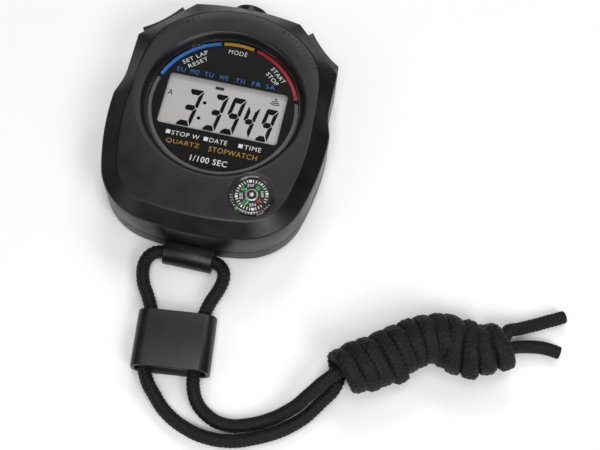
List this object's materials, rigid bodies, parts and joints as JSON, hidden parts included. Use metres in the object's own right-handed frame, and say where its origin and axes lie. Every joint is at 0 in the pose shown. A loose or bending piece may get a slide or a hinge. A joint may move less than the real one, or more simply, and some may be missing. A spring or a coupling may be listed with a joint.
{
  "type": "digital stopwatch",
  "caption": "Hand-held digital stopwatch: faceted case with a round window over a display, push buttons on the upper edges, an inset button compass and a braided cord with a sliding sleeve.",
  "frame": {"origin": "on the dial's axis, in the plane of the flat back that the stopwatch lies on", "axes": "+Z out of the face, +Y towards the mode button, +X to the right of the face"},
  "size_m": [0.1302, 0.1207, 0.0193],
  "materials": {
    "case_plastic": "fine matte texture, soft sheen on the edges",
    "button_plastic": "satin",
    "window_plastic": "clear, polished acrylic",
    "dial_print": "gloss black with printed rings and labels",
    "lcd_film": "satin grey film",
    "lcd_glass": "clear",
    "frame_plastic": "white, matte",
    "zebra_rubber": "pink silicone with a dark conducting core",
    "board_laminate": "green solder mask",
    "chip_epoxy": "black epoxy drop",
    "chip_ceramic": "fired ceramic",
    "screw_steel": "zinc plated",
    "spring_steel": "bright spring wire and strip",
    "can_metal": "nickel plated",
    "contact_brass": "plain brass",
    "compass_housing": "gloss black with white marks",
    "card_plastic": "black with printed marks and a bright hub",
    "cord_braid": "braided black polyester cord",
    "slider_plastic": "satin black"
  },
  "bodies": {
    "case": {"front_case": "case_plastic", "back_case": "case_plastic", "window_lens": "window_plastic", "compass_dome": "window_plastic", "dial_plate": "dial_print", "lcd_front_polarizer": "lcd_film", "lcd_reflector": "lcd_film", "lcd_front_glass": "lcd_glass", "lcd_rear_glass": "lcd_glass", "lcd_frame": "frame_plastic", "zebra_strip": "zebra_rubber", "circuit_board": "board_laminate", "chip_blob": "chip_epoxy", "board_capacitors": "chip_ceramic", "buzzer_ceramic": "chip_ceramic", "case_screws": "screw_steel", "board_screws": "screw_steel", "battery_positive_clip": "spring_steel", "battery_negative_contact": "spring_steel", "buzzer_spring": "spring_steel", "mode_return_spring": "spring_steel", "start_stop_return_spring": "spring_steel", "lap_reset_return_spring": "spring_steel", "quartz_crystal": "can_metal", "button_cell": "can_metal", "buzzer_plate": "contact_brass", "mode_switch_leaf": "contact_brass", "start_stop_switch_leaf": "contact_brass", "lap_reset_switch_leaf": "contact_brass", "compass_pivot": "contact_brass", "compass_cup": "compass_housing", "lanyard_left_strand": "cord_braid", "lanyard_right_strand": "cord_braid", "lanyard_hank": "cord_braid", "lanyard_tail_a": "cord_braid", "lanyard_tail_b": "cord_braid"},
    "mode_button": {"mode_button": "button_plastic"},
    "start_stop_button": {"start_stop_button": "button_plastic"},
    "lap_reset_button": {"lap_reset_button": "button_plastic"},
    "compass_card": {"compass_card": "card_plastic", "compass_magnet": "can_metal"},
    "cord_slider": {"cord_slider": "slider_plastic"}
  },
  "joints": [
    {"name": "mode_press", "type": "slide", "parent": "case", "child": "mode_button", "axis": [0, -1, 0], "range_m": [0, 0.0009], "stiffness_N_per_m": 600, "springref_m": -0.0006, "deforming": ["mode_return_spring", "mode_switch_leaf"]},
    {"name": "start_stop_press", "type": "slide", "parent": "case", "child": "start_stop_button", "axis": [-0.7071, -0.7071, 0], "range_m": [0, 0.0009], "stiffness_N_per_m": 600, "springref_m": -0.0006, "deforming": ["start_stop_return_spring", "start_stop_switch_leaf"]},
    {"name": "lap_reset_press", "type": "slide", "parent": "case", "child": "lap_reset_button", "axis": [0.7071, -0.7071, 0], "range_m": [0, 0.0009], "stiffness_N_per_m": 600, "springref_m": -0.0006, "deforming": ["lap_reset_return_spring", "lap_reset_switch_leaf"]},
    {"name": "compass_turn", "type": "hinge", "parent": "case", "child": "compass_card", "pos_m": [0.0136, -0.025, 0.0172], "axis": [0, 0, 1], "continuous": true},
    {"name": "slider_slide", "type": "slide", "parent": "case", "child": "cord_slider", "axis": [0.1097, -0.994, 0], "range_m": [0, 0.0035]}
  ]
}
